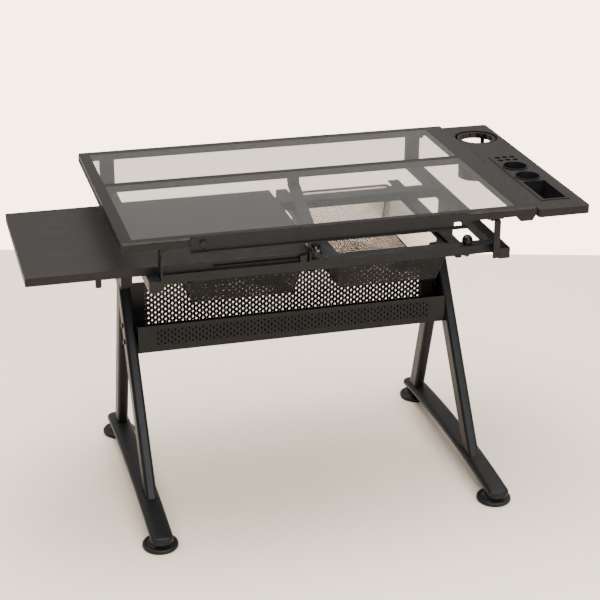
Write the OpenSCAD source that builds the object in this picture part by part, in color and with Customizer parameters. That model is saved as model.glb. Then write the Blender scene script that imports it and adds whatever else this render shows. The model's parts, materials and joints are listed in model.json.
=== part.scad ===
// Drafting table: a tilting glass top on a twin-leg steel base, with a sliding side board,
// a panel of cup and pen holders, two mesh baskets and a perforated storage trough.
// X runs to the user's right, Y to the back and Z up. The origin is on the floor,
// under the middle of the whole table.

/* [Glass top] */
// Width of the glass
glass_w = 900; // [800:10:1000]
// Depth of the glass
glass_d = 600; // [580:10:620]
// Thickness of the glass
glass_t = 5; // [4:1:8]
// Height of the glass surface above the floor
table_h = 726; // [724:1:728]

/* [Tilting frame] */
// Height of the frame's tubes
frame_h = 15; // [12:1:18]
// Width of the frame's left tube
frame_left_w = 25; // [20:1:30]
// Width of the frame's right tube
frame_right_w = 44; // [35:1:46]
// Width of the frame's front tube
frame_front_w = 20; // [16:1:22]
// Width of the frame's rear tube
frame_rear_w = 18; // [14:1:22]
// Wall of every steel tube
tube_wall = 1.6; // [1.2:0.1:2.4]
// Tilt of the top at its upper limit, in degrees
tilt_max = 35; // [20:1:35]

/* [Side panel] */
// Gap between the glass and the side panel
panel_gap = 4; // [2:1:8]
// Width of the side panel
panel_w = 119.3; // [110:0.1:125]
// Length of the side panel, front to back
panel_l = 610; // [600:5:620]
// Thickness of the side panel and of the sliding board
board_t = 18; // [15:1:19]
// Radius of the panel's cup hole
cup_hole_r = 52; // [50:1:54]
// Inner radius of the cup ring
cup_ring_r = 40; // [36:1:42]

/* [Sliding board] */
// Length of the board, left to right
board_l = 613.5; // [500:0.5:620]
// Depth of the board, front to back
board_d = 395; // [350:5:400]

/* [Base] */
// Width of a side rail
rail_w = 25; // [20:1:30]
// Height of a side rail
rail_h = 24; // [20:1:24]
// Height of the rails' underside above the floor
rail_z = 602; // [600:1:604]
// Width of a leg, side to side
leg_w = 26; // [22:1:28]
// Depth of a leg tube, square to its length
leg_d = 45; // [40:1:48]
// Width of a foot bar
foot_w = 50; // [44:1:54]
// Height of a foot bar's section
foot_h = 20; // [16:1:22]
// Radius of a levelling foot
pad_r = 40; // [34:1:40]

/* [Baskets and trough] */
// Depth of a basket below its rim
basket_drop = 82; // [60:1:90]
// Height of the trough's rear panel
trough_back_h = 142; // [120:1:145]
// Height of the trough's front lip
trough_lip_h = 66; // [50:1:80]

/* [Hidden] */
$fn = 48;
steel = "#2b2c2f";
board_brown = "#4a413c";
black_plastic = "#191919";
bright_steel = "#9a9a9a";
pad_grey = "#3a3a3c";
through = 1;            // how far a cutting shape passes a face
running_gap = 0.05;     // radial clearance of a pin that turns
sliding_gap = 0.3;      // gap between faces that slide

// The plan is drawn from the middle of the glass, then moved to the origin.
glass_x0 = -glass_w / 2;
glass_x1 = glass_w / 2;
glass_y0 = -glass_d / 2;
glass_y1 = glass_d / 2;
glass_z = table_h - glass_t;
frame_z = glass_z - frame_h;
panel_x0 = glass_x1 + panel_gap;
panel_x1 = panel_x0 + panel_w;
panel_z = glass_z - 2;              // the panel's face lies a little under the glass
board_x1 = -25;
board_x0 = board_x1 - board_l;
board_y0 = -238;
board_y1 = board_y0 + board_d;
rail_top = rail_z + rail_h;
rail_y0 = -276;
rail_y1 = 345;
pad_x = [-386, 401];
pad_y = [-284, 263];
mid_x = (board_x0 + panel_x1) / 2;
mid_y = (pad_y[0] - pad_r + rail_y1) / 2;

// Rails: inner faces, and the legs' middle planes
rail_in = [-366, 380];
leg_x = [-382, 397];
side = [-1, 1];

// Tilt hinge, just behind the front tube
hinge_y = -262;
hinge_z = 694;
hinge_r = 4;
strap_t = 4;

module placed() { translate([-mid_x, -mid_y, 0]) children(); }

// A block between two corners
module block(x, y, z) { translate([x[0], y[0], z[0]]) cube([x[1] - x[0], y[1] - y[0], z[1] - z[0]]); }

// Rectangular tubes along X and along Y, open at both ends
module tube_x(x, y, z, wall = tube_wall) {
    difference() {
        block(x, y, z);
        block([x[0] - through, x[1] + through], [y[0] + wall, y[1] - wall], [z[0] + wall, z[1] - wall]);
    }
}
module tube_y(x, y, z, wall = tube_wall) {
    difference() {
        block(x, y, z);
        block([x[0] + wall, x[1] - wall], [y[0] - through, y[1] + through], [z[0] + wall, z[1] - wall]);
    }
}

// Rods along X, Y and Z from a starting point
module rod_x(x, y, z, r) { translate([x[0], y, z]) rotate([0, 90, 0]) cylinder(r = r, h = x[1] - x[0]); }
module rod_y(x, y, z, r) { translate([x, y[1], z]) rotate([90, 0, 0]) cylinder(r = r, h = y[1] - y[0]); }
module rod_z(x, y, z, r) { translate([x, y, z[0]]) cylinder(r = r, h = z[1] - z[0]); }

// A rectangle with round corners, centred
module round_rect(w, d, r) {
    square([w - 2 * r, d], center = true);
    square([w, d - 2 * r], center = true);
    for (sx = side, sy = side) translate([sx * (w / 2 - r), sy * (d / 2 - r)]) circle(r = r);
}

// ---- Tilting top ----

module glass_top() {
    corner_r = 4;
    color("#cfd8d6", 0.5) placed() translate([0, 0, glass_z]) linear_extrude(glass_t)
        round_rect(glass_w, glass_d, corner_r);
}

frame_x_in = [glass_x0 + frame_left_w, glass_x1 - frame_right_w];
frame_zz = [frame_z, glass_z];
side_bar_y = [glass_y0 + frame_front_w, glass_y1 - frame_rear_w];

module frame_left_bar() {
    color(steel) placed() tube_y([glass_x0, frame_x_in[0]], side_bar_y, frame_zz);
}
module frame_right_bar() {
    color(steel) placed() tube_y([frame_x_in[1], glass_x1], side_bar_y, frame_zz);
}
// The front tube carries the ledge's clamping bolt in a bore
ledge_knob_x = -281.5;
ledge_knob_z = 711.4;
ledge_bolt_r = 3;
module frame_front_bar() {
    y = [glass_y0, glass_y0 + frame_front_w];
    color(steel) placed() difference() {
        tube_x([glass_x0, glass_x1], y, frame_zz);
        rod_y(ledge_knob_x, [y[0] - through, y[1] - tube_wall - through], ledge_knob_z,
            ledge_bolt_r + running_gap);
    }
}
module frame_rear_bar() {
    color(steel) placed() tube_x([glass_x0, glass_x1], [glass_y1 - frame_rear_w, glass_y1], frame_zz);
}
// Plugs close the ends of the front and rear tubes
module frame_end_plugs() {
    plug = 12;
    wall = tube_wall;
    rows = [[glass_y0, side_bar_y[0]], [side_bar_y[1], glass_y1]];
    color(black_plastic) placed() for (x = [glass_x0, glass_x1 - plug], y = rows)
        block([x, x + plug], [y[0] + wall, y[1] - wall], [frame_z + wall, glass_z - wall]);
}
stretcher_y = [53, 72];
module mid_stretcher() { color(steel) placed() tube_x(frame_x_in, stretcher_y, frame_zz); }

// A leaf under the front tube turns on each hinge pin
leaf_gap = 2;
leaf_w = 12;
module hinge_leaves() {
    ear_r = 8;
    plate_t = 3;
    plate_w = 36;
    color(steel) placed() for (i = [0, 1]) {
        x_strap = rail_in[i] - side[i] * strap_t;
        x_plate = x_strap - side[i] * plate_w;
        x_ear = x_strap - side[i] * (leaf_gap + leaf_w / 2);
        ear = [x_ear - leaf_w / 2, x_ear + leaf_w / 2];
        difference() {
            union() {
                block(ear, [hinge_y - ear_r, hinge_y + ear_r], [hinge_z, frame_z]);
                rod_x(ear, hinge_y, hinge_z, ear_r);
                block([min(x_strap, x_plate), max(x_strap, x_plate)], [glass_y0 + 2, hinge_y + ear_r],
                    [frame_z - plate_t, frame_z]);
            }
            rod_x([x_ear - leaf_w, x_ear + leaf_w], hinge_y, hinge_z, hinge_r + running_gap);
        }
    }
}

// Support arm: a flat bar from the stretcher down to a swivelling clamp on the front
// crossbar. Its slope follows the path of the clamp's pivot in the tilting frame.
pivot = [-243, 650];                // clamp pivot: Y and Z
arm_x = [-27, 7];                   // at the clamp, and at the stretcher
arm_t = 4;
arm_w = 28;
arm_rise = 8;                       // arm's middle plane above the pivot
pivot_r = norm([pivot[0] - hinge_y, pivot[1] - hinge_z]);
pivot_a = atan2(pivot[1] - hinge_z, pivot[0] - hinge_y);
arm_slope = 90 + pivot_a - tilt_max / 2;
slot_travel = 2 * pivot_r * sin(tilt_max / 2);
bolt_r = 3.5;
slot_w = 8;
arm_back = (stretcher_y[0] + stretcher_y[1]) / 2 - pivot[0];

// Moves a shape drawn flat at the pivot onto the arm's slope
module on_arm() { translate([0, pivot[0], pivot[1]]) rotate([arm_slope, 0, 0]) children(); }

module support_arm() {
    half = arm_w / 2;
    nose = 8;                       // chamfer of the arm's two ends
    slot_end = slot_travel + 10;
    color(steel) placed() on_arm() translate([0, 0, arm_rise - arm_t / 2]) linear_extrude(arm_t)
        difference() {
            polygon([[arm_x[0] - half, nose - slot_end - half], [arm_x[0] - half + nose, -slot_end - half],
                [arm_x[0] + half - nose, -slot_end - half], [arm_x[0] + half, nose - slot_end - half],
                [arm_x[0] + half, 10], [arm_x[1] + half, arm_back],
                [arm_x[1] + half - nose, arm_back + half], [arm_x[1] - half + nose, arm_back + half],
                [arm_x[1] - half, arm_back], [arm_x[0] - half, 10]]);
            translate([arm_x[0] - slot_w / 2, -slot_end]) square([slot_w, slot_end + 8]);
        }
}

// A wedge block joins the arm to the stretcher
module arm_mount() {
    mount_w = 24;
    color(steel) placed() difference() {
        block([arm_x[1] - mount_w / 2, arm_x[1] + mount_w / 2], stretcher_y, [frame_z - 30, frame_z]);
        on_arm() block([-100, 100], [arm_back - 60, arm_back + 60], [-50, arm_rise + arm_t / 2]);
    }
}

// Side panel with a round cup hole and a long cut-out for the organizer
cup_x = 513;
cup_y = 213;
tray_x = [484, 546];
tray_y = [-250, 54];
module side_panel() {
    corner_r = 7;
    color(board_brown) placed() translate([0, 0, panel_z - board_t]) difference() {
        linear_extrude(board_t) translate([(panel_x0 + panel_x1) / 2, 0])
            round_rect(panel_w, panel_l, corner_r);
        rod_z(cup_x, cup_y, [-through, board_t + through], cup_hole_r);
        block(tray_x, tray_y, [-through, board_t + through]);
    }
}

// Flat steel straps carry the panel from the frame's right tube
bracket_y = [-220, -60, 120];
module panel_brackets() {
    strip_w = 30;
    strip_t = 3;
    under = panel_z - board_t;
    color(steel) placed() for (y = bracket_y) {
        yy = [y - strip_w / 2, y + strip_w / 2];
        block([glass_x1 - 30, glass_x1], yy, [under - strip_t, frame_z]);
        block([glass_x1, panel_x0 + 22], yy, [under - strip_t, under]);
    }
}

ring_out_r = 46;
ring_z = [panel_z - 15, panel_z - 2];
module cup_ring() {
    lug_w = 9;
    color(black_plastic) placed() translate([cup_x, cup_y, 0]) difference() {
        union() {
            translate([0, 0, ring_z[0]]) cylinder(r = ring_out_r, h = ring_z[1] - ring_z[0]);
            for (a = [45:90:315]) intersection() {
                rotate(a) block([cup_ring_r + 2, cup_hole_r + 4], [-lug_w / 2, lug_w / 2],
                    [ring_z[0] + 2, ring_z[1] - 3]);
                translate([0, 0, ring_z[0]]) cylinder(r = cup_hole_r, h = ring_z[1] - ring_z[0]);
            }
        }
        translate([0, 0, ring_z[0] - through])
            cylinder(r = cup_ring_r, h = ring_z[1] - ring_z[0] + 2 * through);
    }
}

bucket_z = [615, 652];
module cup_bucket() {
    wall = 2.4;
    strut_w = 10;
    floor_t = 3;
    color(black_plastic) placed() translate([cup_x, cup_y, 0]) {
        difference() {
            translate([0, 0, bucket_z[0]]) cylinder(r = cup_ring_r, h = bucket_z[1] - bucket_z[0]);
            translate([0, 0, bucket_z[0] + floor_t]) cylinder(r = cup_ring_r - wall, h = bucket_z[1]);
        }
        for (a = [45:90:315]) intersection() {
            rotate(a) block([cup_ring_r - 4, cup_ring_r + 4], [-strut_w / 2, strut_w / 2],
                [bucket_z[1] - 20, ring_z[0]]);
            difference() {
                translate([0, 0, bucket_z[0]]) cylinder(r = cup_ring_r + wall, h = 120);
                translate([0, 0, bucket_z[0] - through]) cylinder(r = cup_ring_r, h = 130);
            }
        }
    }
}

// Organizer tray: six pen holes, two cups with raised rims and a bin, hung from a thin rim
pen_r = 6.6;
pen_x = [500, 518, 536.5];
pen_y = [25, 45];
tray_cup_x = 515.5;
tray_cup_y = [-96, -24];
tray_cup_r = 27;
bin_x = [489, 542];
bin_y = [-247, -130];
module organizer_tray() {
    rim_t = 1.5;
    lip = 3;
    wall = 2;
    plate_t = 4;
    collar = 2.5;
    cup_deep = 52;
    bin_deep = 40;
    pen_deep = 38;
    top = panel_z + rim_t;
    gap = 0.5;
    x_in = [tray_x[0] + gap, tray_x[1] - gap];
    y_in = [tray_y[0] + gap, tray_y[1] - gap];
    color(black_plastic) placed() difference() {
        union() {
            block([tray_x[0] - lip, tray_x[1] + lip], [tray_y[0] - lip, tray_y[1] + lip], [panel_z, top]);
            block(x_in, y_in, [panel_z - plate_t, panel_z]);
            block(x_in, [pen_y[0] - pen_r - wall, y_in[1]], [top - pen_deep - wall, panel_z]);
            block(x_in, [y_in[0], bin_y[1] + wall], [top - bin_deep - wall, panel_z]);
            for (y = tray_cup_y)
                rod_z(tray_cup_x, y, [top - cup_deep - wall, top + collar], tray_cup_r + wall);
        }
        for (x = pen_x, y = pen_y) rod_z(x, y, [top - pen_deep, top + through], pen_r);
        for (y = tray_cup_y) rod_z(tray_cup_x, y, [top - cup_deep, top + collar + through], tray_cup_r);
        block(bin_x, bin_y, [top - bin_deep, top + through]);
    }
}

// Plastic clip under the frame's right front corner
module corner_clip() {
    depth = 16;
    drop = 12;
    x = [405, 449];
    color(black_plastic) placed() translate([0, glass_y0 + depth, frame_z]) rotate([90, 0, 0])
        linear_extrude(depth) polygon([[x[0], 0], [x[1], 0], [x[1] - 7, -drop], [x[0] + 10, -drop]]);
}

// Pencil ledge: a folded strip that slides up past the edge of the glass
ledge_x = [-309, 291];
ledge_z = [693, 725];
ledge_t = 2.4;
ledge_travel = 8;
module pencil_ledge() {
    lip = 6;
    y = [glass_y0 - sliding_gap - ledge_t, glass_y0 - sliding_gap];
    slot = ledge_bolt_r + 0.5;
    color(steel) placed() difference() {
        union() {
            block(ledge_x, y, ledge_z);
            block(ledge_x, [y[0] - lip, y[0]], [ledge_z[0], ledge_z[0] + ledge_t]);
        }
        rod_y(ledge_knob_x, [y[0] - through, y[1] + through], ledge_knob_z, slot);
        rod_y(ledge_knob_x, [y[0] - through, y[1] + through], ledge_knob_z - ledge_travel, slot);
        block([ledge_knob_x - slot, ledge_knob_x + slot], [y[0] - through, y[1] + through],
            [ledge_knob_z - ledge_travel, ledge_knob_z]);
        block([261, 278], [y[0] - through, y[1] + through], [698.5, 710]);
    }
}
module ledge_knob() {
    head_r = 7.5;
    head_t = 4;
    face = glass_y0 - 2 * sliding_gap - ledge_t;
    color(black_plastic) placed() union() {
        rod_y(ledge_knob_x, [face - head_t, face], ledge_knob_z, head_r);
        rod_y(ledge_knob_x, [face, glass_y0 + 10], ledge_knob_z, ledge_bolt_r);
    }
}

// ---- Sliding board ----

guide_x = -53;
guide_z = 635;
guide_r = 2;
module sliding_board() {
    groove_x = [-249, -50];
    groove_h = 5;
    groove_d = 6;
    color(board_brown) placed() difference() {
        translate([(board_x0 + board_x1) / 2, (board_y0 + board_y1) / 2, rail_top])
            linear_extrude(board_t) round_rect(board_l, board_d, 2);
        block(groove_x, [board_y0 - through, board_y0 + groove_d],
            [guide_z - groove_h / 2, guide_z + groove_h / 2]);
    }
}
peg_x = -488;
module board_peg() {
    color(black_plastic) placed() {
        rod_z(peg_x, board_y0 + 12, [606, rail_top], 6.5);
        for (x = [-474, -453]) rod_z(x, board_y0 + 12, [rail_top - 4, rail_top], 4);
    }
}
// A guide plate on the crossbar holds a pin in the board's groove
cross_y = [-246, -216];
cross_z = [606, rail_top];
module board_guide() {
    y = [cross_y[0], board_y0 - sliding_gap];
    color(steel) placed() union() {
        block([guide_x - 8, guide_x + 6], y, [rail_top, guide_z + 5]);
        rod_y(guide_x, [y[1] - through, board_y0 + 4], guide_z, guide_r);
    }
}

// ---- Base frame ----

module left_rail() {
    color(steel) placed() tube_y([rail_in[0] - rail_w, rail_in[0]], [rail_y0, rail_y1], [rail_z, rail_top]);
}
module right_rail() {
    color(steel) placed() tube_y([rail_in[1], rail_in[1] + rail_w], [rail_y0, rail_y1], [rail_z, rail_top]);
}
module rail_end_plugs() {
    plug = 12;
    wall = tube_wall;
    color(black_plastic) placed() for (i = [0, 1], y = [rail_y0, rail_y1 - plug]) {
        x0 = min(rail_in[i], rail_in[i] + side[i] * rail_w);
        block([x0 + wall, x0 + rail_w - wall], [y, y + plug], [rail_z + wall, rail_top - wall]);
    }
}
lock_x = 322;
lock_y = -231;
lock_r = 4;
module front_crossbar() {
    color(steel) placed() difference() {
        tube_x(rail_in, cross_y, cross_z);
        rod_z(lock_x, lock_y, [cross_z[0] - through, cross_z[1] + through], lock_r + running_gap);
    }
}
module mid_crossbar() { color(steel) placed() tube_x(rail_in, [113, 153], cross_z); }

// Basket slides: bent channels whose lower lip carries a basket's rim.
// opening is the side that faces the basket.
slide_y = [cross_y[1], 260];
slide_w = 27;
slide_z = [588, cross_z[0]];
slide_lip = 3;
slide_deep = 10;
module slide(x0, opening) {
    x1 = x0 + slide_w;
    groove_x = opening > 0 ? [x1 - slide_deep, x1 + through] : [x0 - through, x0 + slide_deep];
    hollow_x = opening > 0 ? [x0 + slide_lip, x1 - slide_deep - slide_lip]
        : [x0 + slide_deep + slide_lip, x1 - slide_lip];
    cut_y = [slide_y[0] - through, slide_y[1] + through];
    color(steel) placed() union() {
        difference() {
            block([x0, x1], slide_y, slide_z);
            block(groove_x, cut_y, [slide_z[0] + slide_lip, slide_z[1] - slide_lip]);
            block(hollow_x, cut_y, [slide_z[0] - through, slide_z[1] - slide_lip]);
        }
        block([x0 + 3, x1 - 3], [slide_y[0], slide_y[0] + 3], [slide_z[1], slide_z[1] + 12]);
    }
}
slide_x = [-317, -31, 18, 304];
module left_outer_slide() { slide(slide_x[0], 1); }
module left_inner_slide() { slide(slide_x[1], -1); }
module right_inner_slide() { slide(slide_x[2], 1); }
module right_outer_slide() { slide(slide_x[3], -1); }

// The span from a rail's inner face to a depth inside it
function inward(i, d) = i == 0 ? [rail_in[0], rail_in[0] + d] : [rail_in[1] - d, rail_in[1]];

// Angle straps rise from the rails' front ends to the tilt hinge
strap_y1 = -248;
strap_bolt_z = [608, 620];
strap_bolt_y = [-268, -256];
module strap(i) {
    ear_r = 8;
    flange_w = 14;
    flange_t = 3;
    strap_z0 = rail_z + 2;
    web_top = hinge_z - 3;
    x = inward(i, strap_t);
    color(steel) placed() difference() {
        union() {
            block(x, [rail_y0, strap_y1], [strap_z0, web_top - 12]);
            block(inward(i, flange_w), [rail_y0, rail_y0 + flange_t], [strap_z0, web_top]);
            block(x, [hinge_y - ear_r, hinge_y + ear_r], [web_top - 12, hinge_z]);
            rod_x(x, hinge_y, hinge_z, ear_r);
        }
        rod_x([x[0] - through, x[1] + through], hinge_y, hinge_z, hinge_r);
    }
}
module left_strap() { strap(0); }
module right_strap() { strap(1); }
module hinge_pins() {
    color(bright_steel) placed() for (i = [0, 1])
        rod_x(inward(i, strap_t + leaf_gap + leaf_w + 2), hinge_y, hinge_z, hinge_r);
}
module strap_bolts() {
    head_r = 4.5;
    head_t = 3;
    color(steel) placed() for (i = [0, 1], k = [0, 1]) {
        face = rail_in[i] - side[i] * strap_t;
        far = face - side[i] * head_t;
        rod_x([min(face, far), max(face, far)], strap_bolt_y[k], strap_bolt_z[k], head_r);
    }
}

// Rear posts carry the frame's rear tube while the top is flat
module rear_post(i) {
    w = 34;
    lug_t = 6;
    x = rail_in[i] + side[i] * rail_w / 2;
    y = [rail_y1 - 15, rail_y1];
    color(steel) placed() {
        block([x - w / 2, x + w / 2], y, [rail_top, frame_z - lug_t - 14]);
        translate([x, y[1], frame_z - lug_t - 14]) rotate([90, 0, 0]) linear_extrude(y[1] - y[0])
            intersection() {
                circle(r = w / 2);
                translate([-w / 2, 0]) square([w, 14]);
            }
        block([x - 9, x + 9], [285, y[1]], [frame_z - lug_t, frame_z]);
    }
}
module left_rear_post() { rear_post(0); }
module right_rear_post() { rear_post(1); }

// Swivelling clamp of the support arm
ear_x = [arm_x[0] - 14, arm_x[0] + 14];
ear_t = 4;
clamp_pin_r = 3;
module clamp_bracket() {
    ear_reach = 4;                  // the ears stay under the arm at every tilt
    color(steel) placed() difference() {
        union() {
            block(ear_x, [cross_y[0], board_y0 - 1], [rail_top, rail_top + 3]);
            for (x = [ear_x[0], ear_x[1] - ear_t])
                block([x, x + ear_t], [pivot[0] - ear_reach, board_y0 - 1],
                    [rail_top, pivot[1] + ear_reach]);
        }
        rod_x([ear_x[0] - through, ear_x[1] + through], pivot[0], pivot[1], clamp_pin_r);
    }
}
module clamp_pin() { color(bright_steel) placed() rod_x(ear_x, pivot[0], pivot[1], clamp_pin_r); }
clamp_block_r = 5;
clamp_clear = 0.7;
knob_low = arm_rise + arm_t / 2 + pivot_r * (1 - cos(tilt_max / 2)) + clamp_clear;
module arm_clamp() {
    color(bright_steel) placed() on_arm() difference() {
        union() {
            rod_x([ear_x[0] + ear_t + 0.5, ear_x[1] - ear_t - 0.5], 0, 0, clamp_block_r);
            rod_z(arm_x[0], 0, [0, knob_low + 9], bolt_r);
        }
        rod_x([ear_x[0], ear_x[1]], 0, 0, clamp_pin_r + running_gap);
    }
}
module clamp_knob() {
    knob_r = 10;
    knob_h = 12;
    color(black_plastic) placed() on_arm() translate([arm_x[0], 0, knob_low]) difference() {
        union() {
            cylinder(r = knob_r, h = knob_h - 2);
            translate([0, 0, knob_h - 2]) cylinder(r = knob_r - 2, h = 2);
        }
        translate([0, 0, -through]) cylinder(r = bolt_r + running_gap, h = 10.5);
    }
}

// Lock knob on the front crossbar, with its nut below
module lock_knob() {
    dome_r = 12;
    color(black_plastic) placed() union() {
        rod_z(lock_x, lock_y, [rail_top + 0.3, rail_top + 9], dome_r - 3);
        translate([lock_x, lock_y, rail_top + 9]) intersection() {
            sphere(r = dome_r);
            translate([-dome_r, -dome_r, -3]) cube([2 * dome_r, 2 * dome_r, dome_r + 1.5]);
        }
        rod_z(lock_x, lock_y, [slide_z[1] - 8, rail_top + 1], lock_r);
        translate([lock_x, lock_y, slide_z[1] - 7]) cylinder(r = 8, h = 6.5, $fn = 6);
    }
}

// ---- Baskets ----

basket_rim_y = [-175, 262];
rim_gap_y = [basket_rim_y[0] + 6, basket_rim_y[1] - 6];
rim_z = [slide_z[0] + slide_lip + sliding_gap, slide_z[0] + slide_lip + sliding_gap + 6];
rim_w = 11.5;
rim_gap = 1.5;
basket_taper = 15;
basket_front_taper = 35;
basket_x = [[slide_x[0] + slide_w - slide_deep + rim_gap, slide_x[1] + slide_deep - rim_gap],
    [slide_x[2] + slide_w - slide_deep + rim_gap, slide_x[3] + slide_deep - rim_gap]];

module basket_rim(i) {
    x = basket_x[i];
    color(steel) placed() difference() {
        block(x, basket_rim_y, rim_z);
        block([x[0] + rim_w, x[1] - rim_w], rim_gap_y, [rim_z[0] - through, rim_z[1] + through]);
    }
}
// The outer form of a basket, drawn in by t on every side
module basket_form(i, t, z0) {
    x = [basket_x[i][0] + rim_w - 2, basket_x[i][1] - rim_w + 2];
    hull() {
        block([x[0] + t, x[1] - t], [basket_rim_y[0] + 4 + t, basket_rim_y[1] - 4 - t],
            [rim_z[0] - 0.5, rim_z[0]]);
        block([x[0] + basket_taper + t, x[1] - basket_taper - t],
            [basket_rim_y[0] + basket_front_taper + t, basket_rim_y[1] - basket_taper - t], [z0, z0 + 0.5]);
    }
}
module basket(i) {
    wall = 2;
    z0 = rim_z[0] - basket_drop;
    x = basket_x[i];
    color(steel) placed() difference() {
        basket_form(i, 0, z0);
        basket_form(i, wall, z0 + wall);
        block([x[0] + rim_w, x[1] - rim_w], rim_gap_y, [rim_z[0] - through, rim_z[0] + through]);
    }
}
module left_basket() { basket(0); }
module left_basket_rim() { basket_rim(0); }
module right_basket() { basket(1); }
module right_basket_rim() { basket_rim(1); }

// ---- Legs and feet ----

// Leg faces in side view: Y at height z for the front leg's front face and the
// rear leg's front face
front_slope = 0.69;
rear_slope = -0.28;
function front_face(z) = 1 + front_slope * (z - 300);
function rear_face(z) = 168 + rear_slope * (z - 234);
head_y = [76, 116];
head_z = 470;
leg_corner_r = 8;
foot_y = [-322, 300];
foot_mid = (foot_y[0] + foot_y[1]) / 2;
foot_top = 56;
foot_drop = 16;
arch_r = (pow((foot_y[1] - foot_y[0]) / 2, 2) + pow(foot_drop, 2)) / (2 * foot_drop);

// A leg tube whose front face passes through (y, 0) at the given slope
module leg_tube(x, y, slope, hollow) {
    a = atan(slope);
    cut = hollow ? tube_wall : 0;
    translate([x, y, 0]) rotate([-a, 0, 0]) translate([0, leg_d / 2, -100]) linear_extrude(900)
        round_rect(leg_w - 2 * cut, leg_d - 2 * cut, leg_corner_r - cut);
}
module leg_shell(x, y, slope) {
    difference() {
        leg_tube(x, y, slope, false);
        leg_tube(x, y, slope, true);
    }
}
// Arched foot bar, solid or as the space inside its wall
module foot_form(x, cut) {
    intersection() {
        translate([x + foot_w / 2 - cut, foot_mid, foot_top - arch_r]) rotate([90, 0, -90])
            linear_extrude(foot_w - 2 * cut) intersection() {
                difference() {
                    circle(r = arch_r - cut, $fn = 720);
                    circle(r = arch_r - foot_h + cut, $fn = 720);
                }
                translate([-400, arch_r - 60]) square([800, 80]);
            }
        translate([x, foot_mid, 0]) linear_extrude(100)
            round_rect(foot_w - 2 * cut, foot_y[1] - foot_y[0] - 2 * cut, foot_w / 2 - cut - 0.01);
    }
}

module leg_head(i) {
    x = leg_x[i];
    wall = tube_wall;
    color(steel) placed() difference() {
        block([x - leg_w / 2, x + leg_w / 2], head_y, [head_z, rail_z]);
        block([x - leg_w / 2 + wall, x + leg_w / 2 - wall], [head_y[0] + wall, head_y[1] - wall],
            [head_z - through, rail_z + through]);
    }
}
module front_leg(i) {
    x = leg_x[i];
    color(steel) placed() difference() {
        leg_shell(x, front_face(0), front_slope);
        foot_form(x, 0);
        block([x - 50, x + 50], [-400, 400], [-200, 42]);
        leg_tube(x, rear_face(0), rear_slope, false);
        block([x - 50, x + 50], [-400, 600], [head_z, 900]);
    }
}
module rear_leg(i) {
    x = leg_x[i];
    color(steel) placed() difference() {
        leg_shell(x, rear_face(0), rear_slope);
        foot_form(x, 0);
        block([x - 50, x + 50], [-400, 400], [-200, 30]);
        block([x - 50, x + 50], [-400, 600], [head_z, 900]);
    }
}
module left_leg_head() { leg_head(0); }
module right_leg_head() { leg_head(1); }
module left_front_leg() { front_leg(0); }
module right_front_leg() { front_leg(1); }
module left_rear_leg() { rear_leg(0); }
module right_rear_leg() { rear_leg(1); }

stud_r = 5;
stud_top = 34;
module foot_bar(i) {
    x = pad_x[i];
    color(steel) placed() difference() {
        union() {
            difference() {
                foot_form(x, 0);
                foot_form(x, 2);
            }
            for (y = pad_y) intersection() {
                rod_z(x, y, [10, stud_top], 9);
                foot_form(x, 0);
            }
        }
        for (y = pad_y) rod_z(x, y, [0, stud_top + through], stud_r + running_gap);
    }
}
module left_foot_bar() { foot_bar(0); }
module right_foot_bar() { foot_bar(1); }

// Levelling foot: a wide disc with a stepped boss on a threaded stud
module levelling_foot(x, y) {
    color(pad_grey) placed() translate([x, y, 0]) union() {
        cylinder(r = pad_r, h = 8);
        translate([0, 0, 8]) cylinder(r1 = pad_r - 2, r2 = pad_r - 8, h = 3, $fn = 64);
        translate([0, 0, 11]) cylinder(r = 24, h = 8);
        translate([0, 0, 19]) cylinder(r = stud_r, h = stud_top - 19);
    }
}
module front_left_foot() { levelling_foot(pad_x[0], pad_y[0]); }
module front_right_foot() { levelling_foot(pad_x[1], pad_y[0]); }
module rear_left_foot() { levelling_foot(pad_x[0], pad_y[1]); }
module rear_right_foot() { levelling_foot(pad_x[1], pad_y[1]); }

// ---- Storage trough ----

trough_x = [leg_x[0] + leg_w / 2, leg_x[1] - leg_w / 2];
trough_y = [35, 120];
trough_z = 319;
trough_t = 2;
module storage_trough() {
    x = trough_x;
    y = trough_y;
    color(steel) placed() union() {
        block(x, y, [trough_z, trough_z + trough_t]);
        block(x, [y[0], y[0] + trough_t], [trough_z, trough_z + trough_lip_h]);
        block(x, [y[1] - trough_t, y[1]], [trough_z, trough_z + trough_back_h]);
        for (xe = [x[0], x[1] - trough_t])
            block([xe, xe + trough_t], y, [trough_z, trough_z + trough_lip_h]);
    }
}
trough_bolt_z = [342, 374];
module trough_bolts() {
    head_r = 6;
    head_t = 3.5;
    color(steel) placed() for (i = [0, 1], z = trough_bolt_z) {
        out = leg_x[i] + side[i] * leg_w / 2;
        far = out + side[i] * head_t;
        rod_x([min(out, far), max(out, far)], front_face(z) + 27, z, head_r);
    }
}

glass_top();
frame_left_bar();
frame_right_bar();
frame_front_bar();
frame_rear_bar();
mid_stretcher();
frame_end_plugs();
hinge_leaves();
arm_mount();
support_arm();
side_panel();
panel_brackets();
cup_ring();
cup_bucket();
organizer_tray();
corner_clip();
pencil_ledge();
ledge_knob();
sliding_board();
board_peg();
left_rail();
right_rail();
rail_end_plugs();
front_crossbar();
mid_crossbar();
left_outer_slide();
left_inner_slide();
right_inner_slide();
right_outer_slide();
left_strap();
right_strap();
hinge_pins();
strap_bolts();
left_rear_post();
right_rear_post();
board_guide();
clamp_bracket();
clamp_pin();
arm_clamp();
clamp_knob();
lock_knob();
left_basket();
left_basket_rim();
right_basket();
right_basket_rim();
left_leg_head();
right_leg_head();
left_front_leg();
right_front_leg();
left_rear_leg();
right_rear_leg();
left_foot_bar();
right_foot_bar();
front_left_foot();
front_right_foot();
rear_left_foot();
rear_right_foot();
storage_trough();
trough_bolts();
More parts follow.
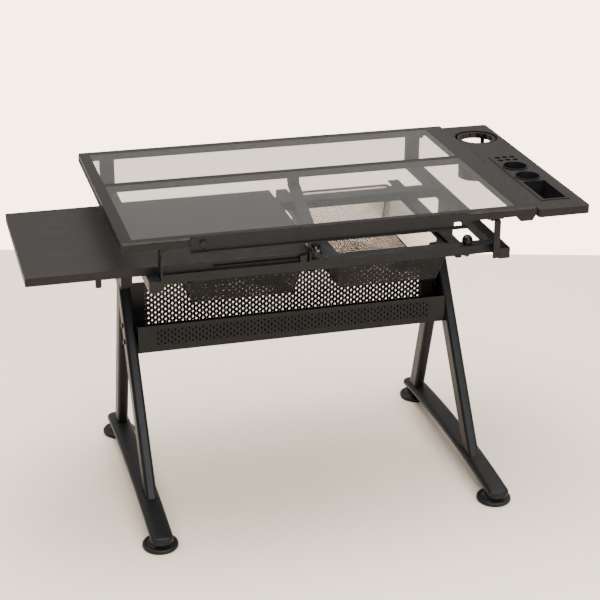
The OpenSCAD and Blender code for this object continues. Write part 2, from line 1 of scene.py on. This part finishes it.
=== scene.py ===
"""Looks for the drafting table: materials, basket mesh, perforated trough, feet, strap, light and camera."""
import json
import math

import bmesh
import bpy
from mathutils import Matrix, Vector


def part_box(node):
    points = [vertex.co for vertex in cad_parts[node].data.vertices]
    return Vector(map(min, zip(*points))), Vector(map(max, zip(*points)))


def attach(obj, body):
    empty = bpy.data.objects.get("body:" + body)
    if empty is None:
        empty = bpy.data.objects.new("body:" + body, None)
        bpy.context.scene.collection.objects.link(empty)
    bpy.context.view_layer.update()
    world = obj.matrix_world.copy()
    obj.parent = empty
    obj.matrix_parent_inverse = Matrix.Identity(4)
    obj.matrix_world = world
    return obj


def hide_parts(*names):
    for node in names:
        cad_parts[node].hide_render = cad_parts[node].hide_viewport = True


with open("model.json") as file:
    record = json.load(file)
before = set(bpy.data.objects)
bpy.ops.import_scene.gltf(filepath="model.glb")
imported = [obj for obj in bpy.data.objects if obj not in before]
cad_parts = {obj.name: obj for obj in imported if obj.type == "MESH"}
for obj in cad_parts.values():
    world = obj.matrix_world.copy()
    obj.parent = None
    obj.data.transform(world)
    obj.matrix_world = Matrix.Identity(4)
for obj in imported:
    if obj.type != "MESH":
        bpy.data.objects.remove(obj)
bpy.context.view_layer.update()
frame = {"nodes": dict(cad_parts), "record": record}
MM = 0.001


# ---- Materials ----

SHEEN_LEVEL = 0.2          # how strongly the dull blacks mirror the room


def new_material(name, base, roughness, metallic=0.0):
    """A Principled material, with its object coordinates ready for procedural detail."""
    mat = bpy.data.materials.new(name)
    mat.use_nodes = True
    nodes, links = mat.node_tree.nodes, mat.node_tree.links
    shader = nodes["Principled BSDF"]
    shader.inputs["Base Color"].default_value = (*base, 1)
    shader.inputs["Roughness"].default_value = roughness
    shader.inputs["Specular IOR Level"].default_value = SHEEN_LEVEL
    shader.inputs["Metallic"].default_value = metallic
    coords = nodes.new("ShaderNodeTexCoord").outputs["Object"]
    return mat, nodes, links, shader, coords


def noise(nodes, links, coords, scale, detail=4, stretch=None):
    """Noise over object coordinates, stretched along an axis if asked."""
    source = coords
    if stretch:
        mapping = nodes.new("ShaderNodeMapping")
        mapping.inputs["Scale"].default_value = stretch
        links.new(coords, mapping.inputs["Vector"])
        source = mapping.outputs["Vector"]
    texture = nodes.new("ShaderNodeTexNoise")
    texture.inputs["Scale"].default_value = scale
    texture.inputs["Detail"].default_value = detail
    links.new(source, texture.inputs["Vector"])
    return texture.outputs["Fac"]


def vary_colour(nodes, links, shader, factor, dark, light, low=0.35, high=0.65):
    """Mixes two colours by a noise factor into the base colour."""
    ramp = nodes.new("ShaderNodeValToRGB")
    ramp.color_ramp.elements[0].position = low
    ramp.color_ramp.elements[0].color = (*dark, 1)
    ramp.color_ramp.elements[1].position = high
    ramp.color_ramp.elements[1].color = (*light, 1)
    links.new(factor, ramp.inputs["Fac"])
    links.new(ramp.outputs["Color"], shader.inputs["Base Color"])


def vary_roughness(nodes, links, shader, factor, low, high):
    """Spreads the roughness between two values by a noise factor."""
    spread = nodes.new("ShaderNodeMapRange")
    spread.inputs["To Min"].default_value = low
    spread.inputs["To Max"].default_value = high
    links.new(factor, spread.inputs["Value"])
    links.new(spread.outputs["Result"], shader.inputs["Roughness"])


def add_bump(nodes, links, shader, factor, strength, distance):
    """Raises the surface by a noise factor."""
    bump = nodes.new("ShaderNodeBump")
    bump.inputs["Strength"].default_value = strength
    bump.inputs["Distance"].default_value = distance
    links.new(factor, bump.inputs["Height"])
    links.new(bump.outputs["Normal"], shader.inputs["Normal"])


def powder_coat(name, base, rough=(0.36, 0.5)):
    """Satin powder coat: fine orange peel, faint cloudiness."""
    mat, nodes, links, shader, coords = new_material(name, base, rough[0])
    cloud = noise(nodes, links, coords, 14, 3)
    vary_colour(nodes, links, shader, cloud, [c * 0.85 for c in base], [c * 1.15 for c in base])
    vary_roughness(nodes, links, shader, noise(nodes, links, coords, 45), *rough)
    add_bump(nodes, links, shader, noise(nodes, links, coords, 900, 2), 0.25, 0.15 * MM)
    return mat


def melamine(name, dark, light, stretch):
    """Dark wood-print melamine: long soft grain and a matt, lightly pored face."""
    mat, nodes, links, shader, coords = new_material(name, dark, 0.42)
    grain = noise(nodes, links, coords, 9, 8, stretch)
    vary_colour(nodes, links, shader, grain, dark, light, 0.3, 0.7)
    vary_roughness(nodes, links, shader, grain, 0.38, 0.52)
    add_bump(nodes, links, shader, noise(nodes, links, coords, 60, 5, stretch), 0.2, 0.1 * MM)
    return mat


def plastic(name, base, rough, grain=600, strength=0.15):
    """Moulded plastic with a fine grain."""
    mat, nodes, links, shader, coords = new_material(name, base, rough)
    cloud = noise(nodes, links, coords, 20, 2)
    vary_colour(nodes, links, shader, cloud, [c * 0.9 for c in base], [c * 1.1 for c in base])
    vary_roughness(nodes, links, shader, noise(nodes, links, coords, 70), rough * 0.9, rough * 1.15)
    add_bump(nodes, links, shader, noise(nodes, links, coords, grain, 2), strength, 0.1 * MM)
    return mat


def plated(name):
    """Zinc-plated steel with faint turning marks."""
    base = (0.3, 0.3, 0.31)
    mat, nodes, links, shader, coords = new_material(name, base, 0.3, 1.0)
    marks = noise(nodes, links, coords, 300, 3, (1, 1, 6))
    vary_colour(nodes, links, shader, marks, (0.1, 0.1, 0.105), (0.18, 0.18, 0.18))
    vary_roughness(nodes, links, shader, marks, 0.22, 0.4)
    add_bump(nodes, links, shader, marks, 0.1, 0.05 * MM)
    return mat


def clear_glass(name):
    """Tempered float glass with a trace of green."""
    mat, nodes, links, shader, coords = new_material(name, (0.93, 0.965, 0.955), 0.015)
    shader.inputs["IOR"].default_value = 1.52
    shader.inputs["Specular IOR Level"].default_value = 0.5
    shader.inputs["Transmission Weight"].default_value = 1.0
    vary_roughness(nodes, links, shader, noise(nodes, links, coords, 3, 2), 0.005, 0.025)
    return mat


MELAMINE_TONES = ((0.0075, 0.0066, 0.006), (0.0115, 0.0102, 0.0094))
MATERIALS = {
    "glass": clear_glass("tempered_glass"),
    "black_steel": powder_coat("black_powder_coat", (0.0068, 0.0074, 0.0083)),
    "melamine": melamine("dark_melamine", *MELAMINE_TONES, (1.2, 14, 14)),
    "gloss_black": plastic("gloss_black_plastic", (0.005, 0.005, 0.0055), 0.1, 300, 0.04),
    "black_plastic": plastic("satin_black_plastic", (0.008, 0.008, 0.0085), 0.4),
    "foot_plastic": plastic("foot_plastic", (0.009, 0.0092, 0.0095), 0.42, 800, 0.3),
    "mesh_steel": powder_coat("mesh_powder_coat", (0.0068, 0.0072, 0.0078)),
    "bright_metal": plated("zinc_plate"),
}
PANEL_MATERIAL = melamine("dark_melamine_panel", *MELAMINE_TONES, (14, 1.2, 14))

for part in frame["record"]["subparts"]:
    node = frame["nodes"][part["node"]]
    node.data.materials.clear()
    node.data.materials.append(MATERIALS[part["material_slot"]])
frame["nodes"]["side_panel"].data.materials[0] = PANEL_MATERIAL


# ---- Mesh helpers ----

def add_piece(name, verts, faces, slot, body, replaces=None, smooth=False, bevel=0):
    """Makes a mesh piece that rides on a body and takes a slot's material."""
    mesh = bpy.data.meshes.new(name)
    mesh.from_pydata([tuple(v) for v in verts], [], faces)
    work = bmesh.new()
    work.from_mesh(mesh)
    bmesh.ops.recalc_face_normals(work, faces=work.faces)
    work.to_mesh(mesh)
    work.free()
    for face in mesh.polygons:
        face.use_smooth = smooth
    piece = bpy.data.objects.new(name, mesh)
    bpy.context.scene.collection.objects.link(piece)
    mesh.materials.append(MATERIALS[slot])
    if bevel:
        rounding = piece.modifiers.new("rounding", "BEVEL")
        rounding.width = bevel
        rounding.segments = 3
        rounding.limit_method = "ANGLE"
    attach(piece, body)
    if replaces:
        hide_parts(replaces)
    return piece


def box_mesh(lo, hi):
    """Vertices and faces of a block between two corners."""
    verts = [Vector((x, y, z)) for x in (lo[0], hi[0]) for y in (lo[1], hi[1]) for z in (lo[2], hi[2])]
    faces = [(0, 1, 3, 2), (4, 6, 7, 5), (0, 4, 5, 1), (2, 3, 7, 6), (0, 2, 6, 4), (1, 5, 7, 3)]
    return verts, faces


def join(parts):
    """Joins (verts, faces) pairs into one pair."""
    verts, faces = [], []
    for more_verts, more_faces in parts:
        start = len(verts)
        verts += more_verts
        faces += [tuple(i + start for i in face) for face in more_faces]
    return verts, faces


def lathe(profile, centre, turn=None, sides=64):
    """Turns (radius, height) points about an axis through centre; turn leans the axis off +Z."""
    turn = turn or Matrix.Identity(3)
    verts, faces = [], []
    for radius, height in profile:
        for k in range(sides):
            a = 2 * math.pi * k / sides
            verts.append(centre + turn @ Vector((radius * math.cos(a), radius * math.sin(a), height)))
    for ring in range(len(profile) - 1):
        for k in range(sides):
            a, b = ring * sides + k, ring * sides + (k + 1) % sides
            faces.append((a, b, b + sides, a + sides))
    last = (len(profile) - 1) * sides
    faces.append(tuple(range(sides - 1, -1, -1)))
    faces.append(tuple(range(last, last + sides)))
    return verts, faces


def tube(path, radius, closed=False, sides=10):
    """A round wire along a path of points."""
    verts, faces = [], []
    count = len(path)
    for i, point in enumerate(path):
        before = path[i - 1] if closed or i else path[i]
        after = path[(i + 1) % count] if closed or i < count - 1 else path[i]
        ahead = (after - before).normalized()
        aside = ahead.cross(Vector((0, 0, 1)))
        if aside.length < 0.01:
            aside = ahead.cross(Vector((1, 0, 0)))
        aside.normalize()
        over = aside.cross(ahead)
        for k in range(sides):
            a = 2 * math.pi * k / sides
            verts.append(point + radius * (math.cos(a) * aside + math.sin(a) * over))
    for i in range(count if closed else count - 1):
        for k in range(sides):
            a, b = i * sides + k, i * sides + (k + 1) % sides
            c, d = (a + sides) % (count * sides), (b + sides) % (count * sides)
            faces.append((a, b, d, c))
    if not closed:
        faces.append(tuple(range(sides - 1, -1, -1)))
        faces.append(tuple(range((count - 1) * sides, count * sides)))
    return verts, faces


# ---- Baskets ----

RIM_INSET = 10 * MM       # from the rim node's edge to the wire
WIRE_R = 2.8 * MM
RUNNER_SHORT = 12 * MM    # a runner stops this far short of the rim's ends
MESH_PITCH = 3.8 * MM
MESH_WIDTH = 2.1 * MM
MESH_THICK = 0.5 * MM
CORNER_WIRE_R = 1.1 * MM
TAPER = 15 * MM
FRONT_TAPER = 35 * MM


def lattice(corners):
    """Diamond mesh of crossing strips over a four-cornered panel: corners go round it."""
    a, b, c, d = corners
    width = ((b - a).length + (c - d).length) / 2
    height = ((d - a).length + (c - b).length) / 2
    normal = (b - a).cross(d - a).normalized() * MESH_THICK / 2

    def at(u, v):
        u, v = u / width, v / height
        return a.lerp(b, u).lerp(d.lerp(c, u), v)

    parts = []
    step = MESH_PITCH * math.sqrt(2)
    half = MESH_WIDTH / math.sqrt(2)
    for k in range(1, int((width + height) / step)):
        start = k * step
        for slope in (1, -1):
            # Ends of the line u + v = start, cut to the panel, mirrored for the other family
            u0, u1 = max(0, start - height), min(width, start)
            if u1 - u0 < 3 * half:
                continue
            quad = []
            for u, shift in ((u0, -half), (u0, half), (u1, half), (u1, -half)):
                v = min(height, max(0, start - u + shift))
                quad.append(at(u if slope > 0 else width - u, v))
            verts = [p + normal for p in quad] + [p - normal for p in quad]
            faces = [(0, 1, 2, 3), (7, 6, 5, 4), (0, 4, 5, 1), (1, 5, 6, 2), (2, 6, 7, 3), (3, 7, 4, 0)]
            parts.append((verts, faces))
    return parts


def rounded_loop(x0, x1, y0, y1, z, radius, steps=6):
    """Points round a rectangle with round corners."""
    points = []
    for cx, cy, start in ((x1, y1, 0), (x0, y1, 90), (x0, y0, 180), (x1, y0, 270)):
        inward_x = cx - radius if cx == x1 else cx + radius
        inward_y = cy - radius if cy == y1 else cy + radius
        for k in range(steps + 1):
            a = math.radians(start + 90 * k / steps)
            points.append(Vector((inward_x + radius * math.cos(a), inward_y + radius * math.sin(a), z)))
    return points


def make_basket(side):
    """Wire-rimmed basket of diamond mesh, with runners in its slides."""
    body = f"{side}_drawer"
    rim_lo, rim_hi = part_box(f"{side}_basket_rim")
    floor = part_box(f"{side}_basket")[0].z
    z = (rim_lo.z + rim_hi.z) / 2
    x0, x1 = rim_lo.x + RIM_INSET, rim_hi.x - RIM_INSET
    y0, y1 = rim_lo.y + WIRE_R + 1 * MM, rim_hi.y - WIRE_R - 1 * MM
    low = floor + CORNER_WIRE_R + 0.5 * MM
    top = [Vector((x0, y0, z)), Vector((x1, y0, z)), Vector((x1, y1, z)), Vector((x0, y1, z))]
    base = [Vector((x0 + TAPER, y0 + FRONT_TAPER, low)), Vector((x1 - TAPER, y0 + FRONT_TAPER, low)),
            Vector((x1 - TAPER, y1 - TAPER, low)), Vector((x0 + TAPER, y1 - TAPER, low))]
    mesh_parts = lattice(base)
    wire_parts = []
    for k in range(4):
        n = (k + 1) % 4
        mesh_parts += lattice((top[k], top[n], base[n], base[k]))
        wire_parts.append(tube([top[k], base[k]], CORNER_WIRE_R * 1.3, sides=8))
    floor_loop = rounded_loop(base[0].x, base[1].x, base[0].y, base[2].y, low, 4 * MM)
    wire_parts.append(tube(floor_loop, CORNER_WIRE_R * 1.4, True, 8))
    add_piece(f"{side}_basket_mesh", *join(mesh_parts), "mesh_steel", body, f"{side}_basket")
    add_piece(f"{side}_basket_wires", *join(wire_parts), "mesh_steel", body, smooth=True)
    loop = tube(rounded_loop(x0, x1, y0, y1, z, 8 * MM), WIRE_R, True, 12)
    add_piece(f"{side}_rim_wire", *loop, "mesh_steel", body, f"{side}_basket_rim", smooth=True)
    front, back = y0 + RUNNER_SHORT, y1 - RUNNER_SHORT
    under, over = rim_lo.z + 0.2 * MM, rim_lo.z + 1.7 * MM
    runners = [box_mesh((rim_lo.x, front, under), (x0, back, over)),
               box_mesh((x1, front, under), (rim_hi.x, back, over))]
    add_piece(f"{side}_runners", *join(runners), "mesh_steel", body, bevel=0.4 * MM)


make_basket("left")
make_basket("right")


# ---- Storage trough ----

SHEET = 2 * MM
HOLE_R = 2.4 * MM
HOLE_SIDES = 12
HOLE_PITCH_X = 16.3 * MM       # between holes in a row
HOLE_PITCH_Z = 6.5 * MM        # between staggered rows
LIP_HEIGHT = 66 * MM
LIP_MARGIN_X = 40 * MM
LIP_MARGIN_LOW = 14 * MM
LIP_MARGIN_HIGH = 10 * MM
BACK_MARGIN_X = 34 * MM
BACK_MARGIN_LOW = 31 * MM
BACK_MARGIN_HIGH = 12 * MM


def holed_cell(centre, across, up, half_w, half_h, normal):
    """One cell of a perforated sheet, with a round hole in its middle."""
    verts, faces = [], []
    for depth in (0, 1):
        for k in range(HOLE_SIDES):
            a = 2 * math.pi * k / HOLE_SIDES
            c, s = math.cos(a), math.sin(a)
            reach = max(abs(c), abs(s))
            plane = centre - normal * SHEET * depth
            verts.append(plane + across * (half_w * c / reach) + up * (half_h * s / reach))
            verts.append(plane + across * (HOLE_R * c) + up * (HOLE_R * s))
    ring = 2 * HOLE_SIDES
    for k in range(HOLE_SIDES):
        n = (k + 1) % HOLE_SIDES
        out0, in0, out1, in1 = 2 * k, 2 * k + 1, 2 * n, 2 * n + 1
        faces.append((out0, out1, in1, in0))
        faces.append((out0 + ring, in0 + ring, in1 + ring, out1 + ring))
        faces.append((in0, in1, in1 + ring, in0 + ring))
    return verts, faces


def perforated(lo, hi, y, depth_sign, margin_x, margin_low, margin_high, pitch_x, pitch_z):
    """An upright sheet facing along Y, with staggered rows of holes between plain margins."""
    across, up, normal = Vector((1, 0, 0)), Vector((0, 0, 1)), Vector((0, depth_sign, 0))
    x0, x1 = lo.x + margin_x, hi.x - margin_x
    z0, z1 = lo.z + margin_low, hi.z - margin_high
    rows = round((z1 - z0) / pitch_z)
    columns = round((x1 - x0) / pitch_x)
    half_w, half_h = (x1 - x0) / columns / 2, (z1 - z0) / rows / 2
    far = y - depth_sign * SHEET
    y0, y1 = min(y, far), max(y, far)
    parts = [box_mesh((lo.x, y0, lo.z), (hi.x, y1, z0)), box_mesh((lo.x, y0, z1), (hi.x, y1, hi.z)),
             box_mesh((lo.x, y0, z0), (x0, y1, z1)), box_mesh((x1, y0, z0), (hi.x, y1, z1))]
    for row in range(rows):
        z = z0 + half_h * (2 * row + 1)
        shift = half_w if row % 2 else 0
        if shift:
            parts.append(box_mesh((x0, y0, z - half_h), (x0 + shift, y1, z + half_h)))
            parts.append(box_mesh((x1 - shift, y0, z - half_h), (x1, y1, z + half_h)))
        for column in range(columns - (1 if shift else 0)):
            centre = Vector((x0 + shift + half_w * (2 * column + 1), y, z))
            parts.append(holed_cell(centre, across, up, half_w, half_h, normal))
    return parts


def make_trough():
    """Folded sheet trough with a perforated lip and rear panel."""
    lo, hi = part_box("storage_trough")
    lip_top = lo.z + LIP_HEIGHT
    floor = box_mesh(lo, (hi.x, hi.y, lo.z + SHEET))
    ends = [box_mesh((x, lo.y, lo.z), (x + SHEET, hi.y, lip_top)) for x in (lo.x, hi.x - SHEET)]
    add_piece("trough_tray", *join([floor] + ends), "black_steel", "base", "storage_trough")
    lip = perforated(Vector((lo.x, lo.y, lo.z + SHEET)), Vector((hi.x, lo.y, lip_top)), lo.y, -1,
                     LIP_MARGIN_X, LIP_MARGIN_LOW, LIP_MARGIN_HIGH, HOLE_PITCH_X, HOLE_PITCH_Z)
    add_piece("trough_lip", *join(lip), "black_steel", "base")
    back = perforated(Vector((lo.x, hi.y, lo.z + SHEET)), hi, hi.y - SHEET, -1,
                      BACK_MARGIN_X, BACK_MARGIN_LOW, BACK_MARGIN_HIGH, HOLE_PITCH_X, HOLE_PITCH_Z)
    add_piece("trough_back", *join(back), "black_steel", "base")


make_trough()


# ---- Foot bars and levelling feet ----

FOOT_BAR_THICK = 20 * MM
FOOT_BAR_END = 18 * MM         # length of the rounded end


def make_foot_bar(side):
    """Arched bar with round ends and a soft oval section."""
    lo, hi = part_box(f"{side}_foot_bar")
    length, width = hi.y - lo.y, hi.x - lo.x
    thick = FOOT_BAR_THICK
    drop = hi.z - lo.z - thick
    end_r = FOOT_BAR_END
    mid_x, mid_y = (lo.x + hi.x) / 2, (lo.y + hi.y) / 2
    stations, sides, verts, faces = 72, 32, [], []
    for i in range(stations + 1):
        t = -math.cos(math.pi * i / stations)
        y = mid_y + t * (length / 2 - 0.2 * MM)
        past = max(0, abs(y - mid_y) - (length / 2 - end_r)) / end_r
        round_off = max(0.02, 1 - past ** 3) ** (1 / 3)
        z = hi.z - thick / 2 - drop * t * t
        half_h = thick / 2 * (0.35 + 0.65 * round_off ** 0.5)
        for k in range(sides):
            a = 2 * math.pi * k / sides
            c, s = math.cos(a), math.sin(a)
            x = mid_x + width / 2 * round_off * math.copysign(abs(c) ** 0.55, c)
            verts.append(Vector((x, y, z + half_h * math.copysign(abs(s) ** 0.7, s))))
    for i in range(stations):
        for k in range(sides):
            a, b = i * sides + k, i * sides + (k + 1) % sides
            faces.append((a, b, b + sides, a + sides))
    faces.append(tuple(range(sides - 1, -1, -1)))
    faces.append(tuple(range(stations * sides, (stations + 1) * sides)))
    add_piece(f"{side}_foot_rail", verts, faces, "black_steel", "base", f"{side}_foot_bar", smooth=True)


def make_levelling_foot(name):
    """Wide moulded disc with stepped rings under a threaded stud."""
    lo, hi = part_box(name)
    centre = Vector(((lo.x + hi.x) / 2, (lo.y + hi.y) / 2, lo.z))
    radius = (hi.x - lo.x) / 2
    outline = [(radius - 3 * MM, 0), (radius - 0.6 * MM, 1 * MM), (radius, 3 * MM), (radius, 7 * MM),
               (radius - 1 * MM, 9 * MM), (radius - 4 * MM, 10.4 * MM), (radius - 8 * MM, 10.8 * MM),
               (radius - 9 * MM, 10 * MM), (radius - 10.5 * MM, 10 * MM), (radius - 11.5 * MM, 11 * MM),
               (25 * MM, 12 * MM), (24 * MM, 13 * MM), (24 * MM, 18 * MM), (23 * MM, 19 * MM),
               (5 * MM, 19 * MM), (5 * MM, hi.z - lo.z)]
    add_piece(f"{name}_pad", *lathe(outline, centre), "foot_plastic", f"{name}_body", name, smooth=True)


for bar_side in ("left", "right"):
    make_foot_bar(bar_side)
for foot_name in ("front_left_foot", "front_right_foot", "rear_left_foot", "rear_right_foot"):
    make_levelling_foot(foot_name)


# ---- Small fittings ----

STRAP_T = 4 * MM
STRAP_DEPTH = 28 * MM
STRAP_EYE_R = 8 * MM
STRAP_NECK_DROP = 26 * MM      # from the strap's top to the start of its neck
STRAP_NECK_IN = 6 * MM


def make_left_strap():
    """Left hinge strap as the photo shows it: a web and a round eye, without the solid's front flange."""
    lo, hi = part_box("left_strap")
    neck_z, eye_z, eye_y = hi.z - STRAP_NECK_DROP, hi.z - STRAP_EYE_R, lo.y + STRAP_DEPTH / 2
    web = box_mesh(lo, (lo.x + STRAP_T, lo.y + STRAP_DEPTH, neck_z))
    neck = box_mesh((lo.x, lo.y + STRAP_NECK_IN, neck_z),
                    (lo.x + STRAP_T, lo.y + STRAP_DEPTH - STRAP_NECK_IN, eye_z))
    turn = Matrix.Rotation(math.pi / 2, 3, "Y")
    eye = lathe([(STRAP_EYE_R, 0), (STRAP_EYE_R, STRAP_T)], Vector((lo.x, eye_y, eye_z)), turn, 32)
    add_piece("left_strap_web", *join([web, neck, eye]), "black_steel", "base", "left_strap", bevel=0.5 * MM)


make_left_strap()


STICKER_X = (1 * MM, 9 * MM)          # in from the board's right end
STICKER_Y = (31 * MM, 53 * MM)        # in from the board's front edge
STICKER_THICK = 0.2 * MM


def make_sticker():
    """Plain paper sticker near the board's right end."""
    lo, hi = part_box("sliding_board")
    verts, faces = box_mesh((hi.x - STICKER_X[1], lo.y + STICKER_Y[0], hi.z),
                            (hi.x - STICKER_X[0], lo.y + STICKER_Y[1], hi.z + STICKER_THICK))
    sticker = add_piece("board_sticker", verts, faces, "black_plastic", "board")
    mat, nodes, links, shader, coords = new_material("sticker_paper", (0.35, 0.33, 0.05), 0.6)
    vary_colour(nodes, links, shader, noise(nodes, links, coords, 120), (0.3, 0.29, 0.04), (0.42, 0.4, 0.07))
    sticker.data.materials[0] = mat


make_sticker()


# ---- Stage, light and camera ----

YAW = math.radians(15.779)
PITCH = math.radians(23.445)
ROLL = math.radians(0.538)
LENS = 93.15
EYE_FROM_GLASS = Vector((-0.89005, -3.179919, 1.861296 - 0.726))   # from the middle of the glass's face
FLOOR_EDGE = 4.68          # from the camera to the floor's far edge, level
FLOOR_SIZE = 14.0
WALL_SEEN = (6.6, 5.0, 3.75)           # the wall where the camera sees it
WALL_THROUGH_GLASS = (2.5, 2.0, 1.6)
WALL_LIGHT = 0.5           # what the wall, the room and the ceiling send onto the table
ROOM_LIGHT = 0.12
CEILING_LIGHT = 3.6
ROOM_TINT = (1.0, 0.95, 0.89)


def make_camera():
    """Camera at the photograph's height and angle."""
    glass_lo, glass_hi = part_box("glass_top")
    aim = Vector(((glass_lo.x + glass_hi.x) / 2, (glass_lo.y + glass_hi.y) / 2, glass_hi.z))
    right = Vector((math.cos(YAW), -math.sin(YAW), 0))
    forward = Vector((math.sin(YAW) * math.cos(PITCH), math.cos(YAW) * math.cos(PITCH), -math.sin(PITCH)))
    up = right.cross(forward)
    rolled_right = math.cos(ROLL) * right + math.sin(ROLL) * up
    rolled_up = math.cos(ROLL) * up - math.sin(ROLL) * right
    camera = bpy.data.objects.new("camera", bpy.data.cameras.new("camera"))
    bpy.context.scene.collection.objects.link(camera)
    camera.data.lens = LENS
    camera.data.sensor_width = 36
    turn = Matrix((rolled_right, rolled_up, -forward)).transposed()
    camera.matrix_world = Matrix.Translation(aim + EYE_FROM_GLASS) @ turn.to_4x4()
    bpy.context.scene.camera = camera
    return aim + EYE_FROM_GLASS, Vector((math.sin(YAW), math.cos(YAW), 0))


def make_floor(eye, ahead):
    """Plain pale floor whose far edge stands where the wall would start."""
    mesh = bpy.data.meshes.new("floor")
    aside = Vector((ahead.y, -ahead.x, 0))
    far = Vector((eye.x, eye.y, 0)) + ahead * FLOOR_EDGE
    corners = [far - aside * FLOOR_SIZE, far + aside * FLOOR_SIZE,
               far + aside * FLOOR_SIZE - ahead * FLOOR_SIZE, far - aside * FLOOR_SIZE - ahead * FLOOR_SIZE]
    mesh.from_pydata([tuple(c) for c in corners], [], [(0, 1, 2, 3)])
    floor = bpy.data.objects.new("floor", mesh)
    bpy.context.scene.collection.objects.link(floor)
    mat, nodes, links, shader, coords = new_material("pale_floor", (0.8, 0.72, 0.64), 0.6)
    mottle = noise(nodes, links, coords, 260, 3)
    vary_colour(nodes, links, shader, mottle, (0.8, 0.68, 0.57), (0.88, 0.765, 0.655))
    mesh.materials.append(mat)


def add_area_light(name, place, target, size, power):
    """A soft square lamp aimed at a point."""
    light = bpy.data.lights.new(name, "AREA")
    light.size = size
    light.energy = power
    lamp = bpy.data.objects.new(name, light)
    bpy.context.scene.collection.objects.link(lamp)
    lamp.location = place
    lamp.rotation_euler = (Vector(target) - Vector(place)).to_track_quat("-Z", "Y").to_euler()


def ramp_up(nodes, links, value, start, end, low, high):
    """Runs from low to high while value goes from start to end."""
    spread = nodes.new("ShaderNodeMapRange")
    spread.interpolation_type = "SMOOTHSTEP"
    for key, number in (("From Min", start), ("From Max", end), ("To Min", low), ("To Max", high)):
        spread.inputs[key].default_value = number
    links.new(value, spread.inputs["Value"])
    return spread.outputs["Result"]


MIX_FIRST_COLOUR = 6           # the colour sockets of a Mix node, by place
MIX_SECOND_COLOUR = 7
MIX_COLOUR_OUT = 2


def pick_colour(nodes, links, chooser, otherwise, picked):
    """Takes the picked colour where the chooser is 1; otherwise is a socket."""
    mix = nodes.new("ShaderNodeMix")
    mix.data_type = "RGBA"
    links.new(chooser, mix.inputs["Factor"])
    links.new(otherwise, mix.inputs[MIX_FIRST_COLOUR])
    mix.inputs[MIX_SECOND_COLOUR].default_value = (*picked, 1)
    return mix.outputs[MIX_COLOUR_OUT]


def make_world(ahead):
    """Pale studio: a bright wall behind the table, a soft ceiling and a dim room in front."""
    world = bpy.data.worlds.new("studio")
    bpy.context.scene.world = world
    world.use_nodes = True
    nodes, links = world.node_tree.nodes, world.node_tree.links
    direction = nodes.new("ShaderNodeTexCoord").outputs["Generated"]
    facing = nodes.new("ShaderNodeVectorMath")
    facing.operation = "DOT_PRODUCT"
    facing.inputs[1].default_value = ahead
    links.new(direction, facing.inputs[0])
    height = nodes.new("ShaderNodeSeparateXYZ")
    links.new(direction, height.inputs["Vector"])
    wall = ramp_up(nodes, links, facing.outputs["Value"], -0.3, 0.75, ROOM_LIGHT, WALL_LIGHT)
    ceiling = ramp_up(nodes, links, height.outputs["Z"], 0.55, 0.85, 0, CEILING_LIGHT)
    strength = nodes.new("ShaderNodeMath")
    strength.operation = "ADD"
    links.new(wall, strength.inputs[0])
    links.new(ceiling, strength.inputs[1])
    tint = nodes.new("ShaderNodeVectorMath")
    tint.operation = "SCALE"
    tint.inputs[0].default_value = ROOM_TINT
    links.new(strength.outputs["Value"], tint.inputs["Scale"])
    path = nodes.new("ShaderNodeLightPath")
    seen = pick_colour(nodes, links, path.outputs["Is Camera Ray"], tint.outputs["Vector"], WALL_SEEN)
    downward = ramp_up(nodes, links, height.outputs["Z"], -0.02, 0, 1, 0)
    through_glass = nodes.new("ShaderNodeMath")
    through_glass.operation = "MULTIPLY"
    links.new(path.outputs["Is Transmission Ray"], through_glass.inputs[0])
    links.new(downward, through_glass.inputs[1])
    shown = pick_colour(nodes, links, through_glass.outputs["Value"], seen, WALL_THROUGH_GLASS)
    links.new(shown, nodes["Background"].inputs["Color"])


eye_point, view_dir = make_camera()
make_floor(eye_point, view_dir)
make_world(view_dir)
add_area_light("key", (-0.2, 0.3, 3.4), (0, 0.1, 0), 1.8, 110)
add_area_light("front", (0.5, -3.4, 2.2), (0, 0.2, 0), 2.4, 120)
